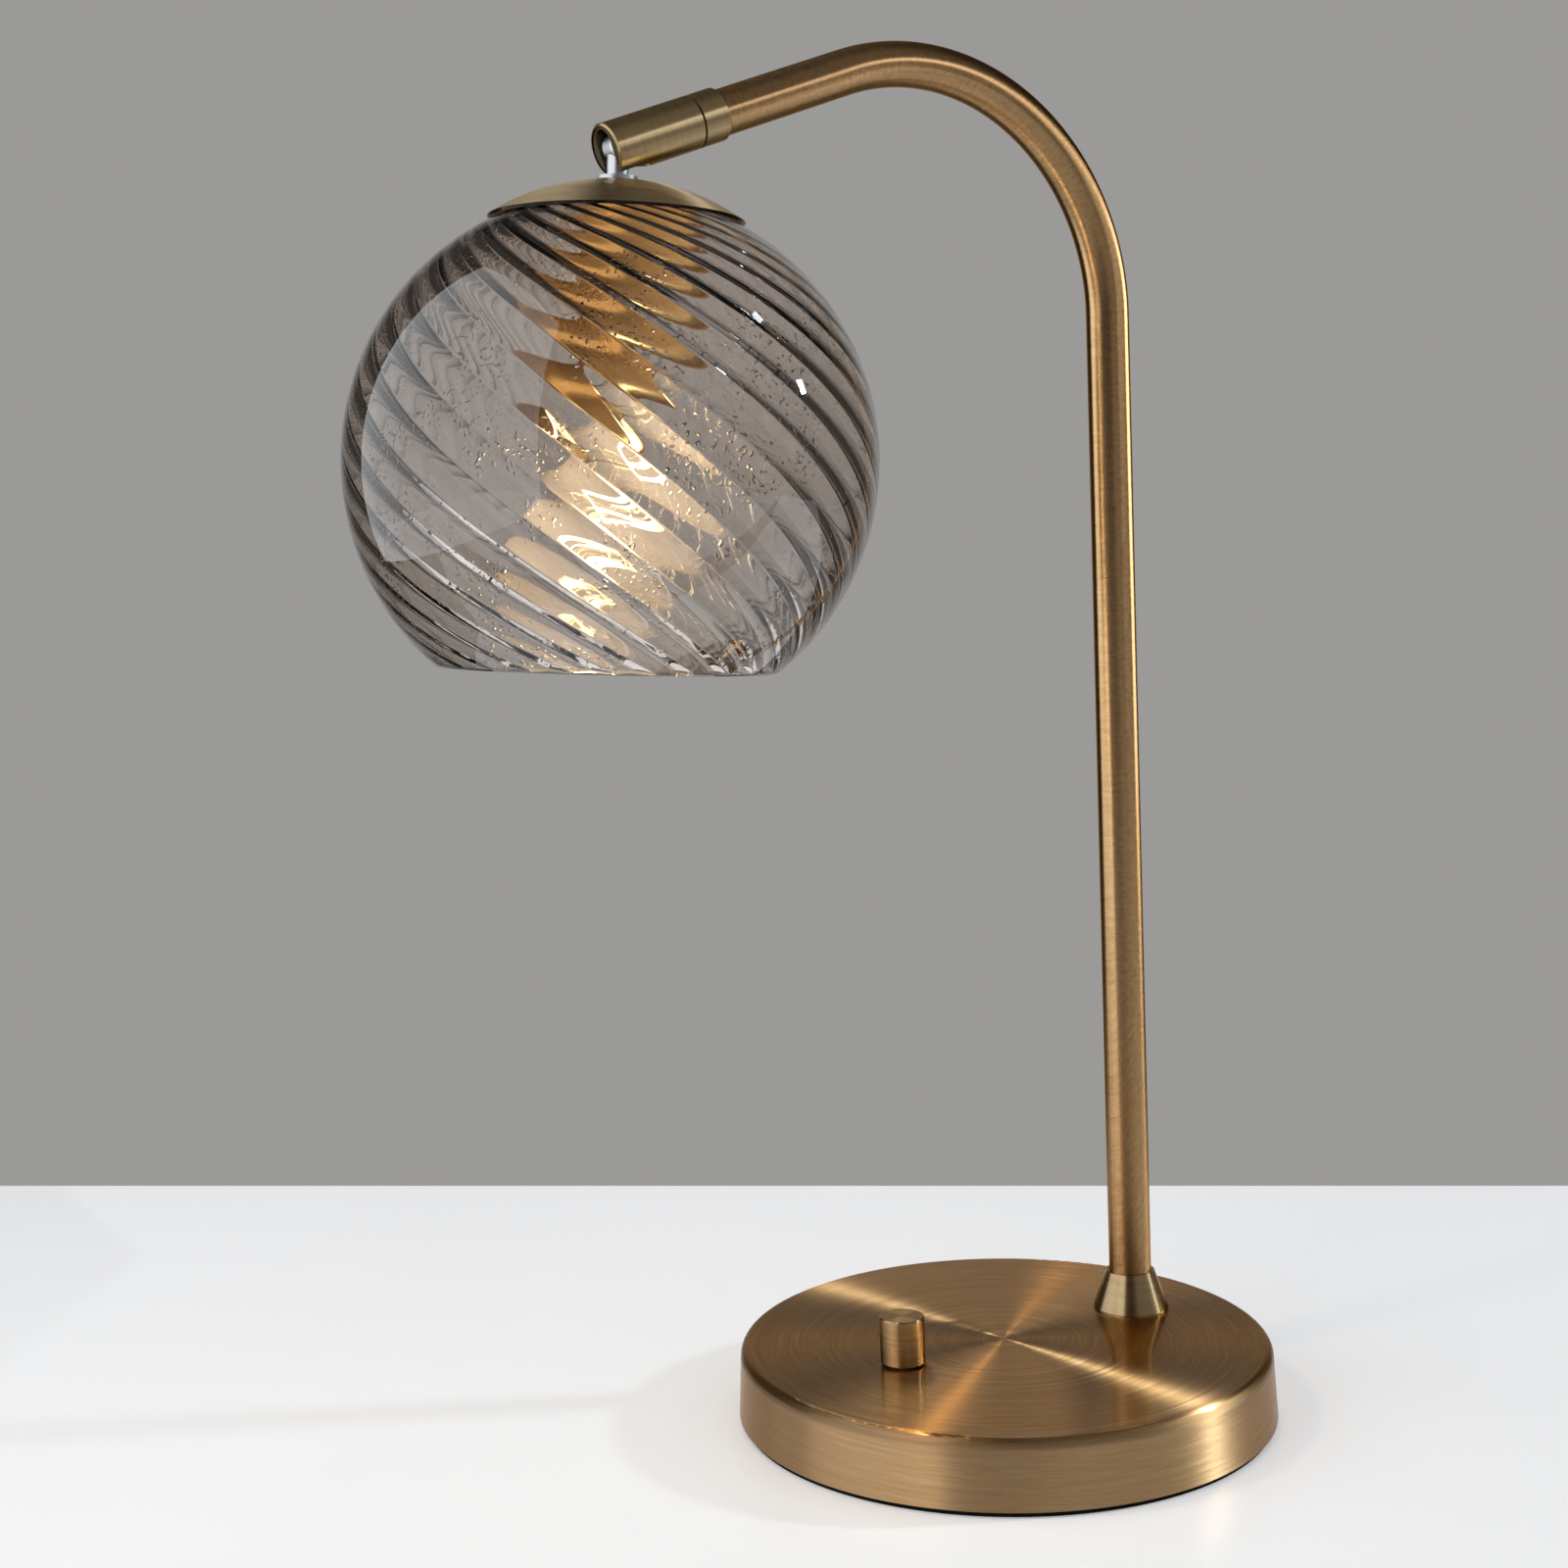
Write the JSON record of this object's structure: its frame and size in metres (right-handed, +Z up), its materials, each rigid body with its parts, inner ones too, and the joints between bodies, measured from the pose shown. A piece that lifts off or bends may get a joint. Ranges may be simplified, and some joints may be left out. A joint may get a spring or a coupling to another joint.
{
  "type": "desk lamp",
  "caption": "Desk lamp with a round weighted base, a bent stem, a dimmer knob and a swirl-ribbed glass globe that swivels and tilts.",
  "frame": {"origin": "centre of the round base's underside, on the surface that the lamp stands on", "axes": "+Z up along the stem; the stem, the arm, the knob and the globe lie in the plane y = 0, with the stem on the +X side and the globe hanging out towards -X"},
  "size_m": [0.3416, 0.2, 0.5035],
  "materials": {
    "antique_brass": "brushed antique brass",
    "bright_plate": "polished plating",
    "plain_steel": "zinc plated",
    "iron": "cast, black",
    "foam": "matte black",
    "black_plastic": "matte black",
    "lead_sleeve": "matte sleeve",
    "smoke_glass": "clear smoke glass with swirled ribs",
    "white_ceramic": "unglazed",
    "raw_brass": "bare metal",
    "clear_glass": "clear, polished",
    "filament": "lit filament"
  },
  "bodies": {
    "base": {"foam_pad": "foam", "base_plate": "plain_steel", "plate_screws": "plain_steel", "ballast_spacers": "plain_steel", "ballast_weight": "iron", "base_cover": "antique_brass", "cord_bush": "black_plastic", "terminal_block": "black_plastic", "dimmer_body": "black_plastic", "dimmer_nut": "bright_plate", "stem_collar": "antique_brass", "stem_nipple": "plain_steel", "tube_insert": "plain_steel", "stiffener_plate": "plain_steel", "lock_washer": "plain_steel", "nipple_nut": "plain_steel", "stem_tube": "antique_brass", "end_collar": "antique_brass", "swivel_stud": "bright_plate", "swivel_washer": "black_plastic", "spring_washer": "plain_steel", "stud_nut": "bright_plate", "stem_lead": "lead_sleeve", "dimmer_lead": "lead_sleeve"},
    "knob": {"dimmer_knob": "antique_brass", "dimmer_shaft": "plain_steel"},
    "barrel": {"swivel_barrel": "antique_brass", "knuckle_clevis": "antique_brass", "pivot_pin": "bright_plate", "friction_washers": "black_plastic"},
    "shade": {"tilt_stud": "bright_plate", "neck_washer": "bright_plate", "shade_cap": "antique_brass", "cap_nut": "bright_plate", "cup_nut": "bright_plate", "shade_gasket": "foam", "glass_shade": "smoke_glass", "socket_cup": "antique_brass", "shade_ring": "black_plastic", "socket_core": "white_ceramic", "socket_shell": "raw_brass", "socket_contact": "raw_brass", "socket_lead": "lead_sleeve", "bulb_base": "raw_brass", "bulb_glass": "clear_glass", "bulb_mount": "clear_glass", "bulb_filaments": "filament"}
  },
  "joints": [
    {"name": "knob_turn", "type": "hinge", "parent": "base", "child": "knob", "pos_m": [-0.0455, 0, 0.036], "axis": [0, 0, 1], "range_deg": [-150, 150]},
    {"name": "barrel_swivel", "type": "hinge", "parent": "base", "child": "barrel", "pos_m": [-0.1106, 0, 0.47268], "axis": [-0.9511, 0, -0.309], "range_deg": [-90, 90]},
    {"name": "shade_tilt", "type": "hinge", "parent": "barrel", "child": "shade", "pos_m": [-0.14332, 0, 0.46205], "axis": [0, 1, 0], "range_deg": [-27, 62]}
  ]
}
